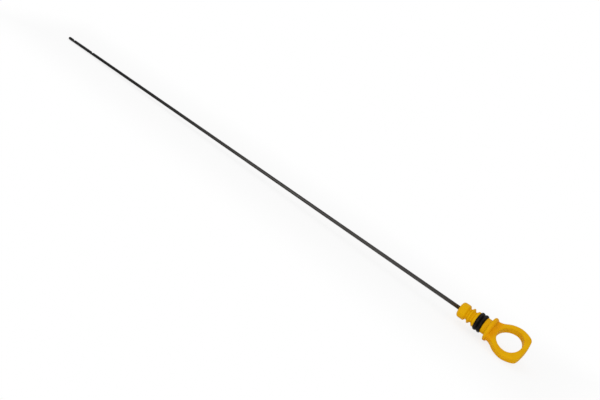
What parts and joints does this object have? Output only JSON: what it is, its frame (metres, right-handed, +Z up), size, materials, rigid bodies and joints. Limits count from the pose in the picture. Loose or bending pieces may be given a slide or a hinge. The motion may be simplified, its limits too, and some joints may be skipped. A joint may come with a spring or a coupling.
{
  "type": "engine oil dipstick",
  "caption": "Engine oil dipstick: long round gauge rod with notched level marks, ribbed plug with twin-lip seal, stop flange and finger-ring handle.",
  "frame": {"origin": "on the surface that it lies on, under the middle of its length and on its centre line", "axes": "+X along the stick from the rod's tip to the finger ring, +Y across the stick, +Z up"},
  "size_m": [0.5388, 0.0278, 0.0195],
  "materials": {
    "handle_plastic": "satin moulded yellow",
    "rod_steel": "drawn wire, dark oiled grey",
    "seal_rubber": "moulded black, soft sheen"
  },
  "bodies": {
    "root": {"handle": "handle_plastic", "gauge_rod": "rod_steel", "seal": "seal_rubber"}
  },
  "joints": []
}
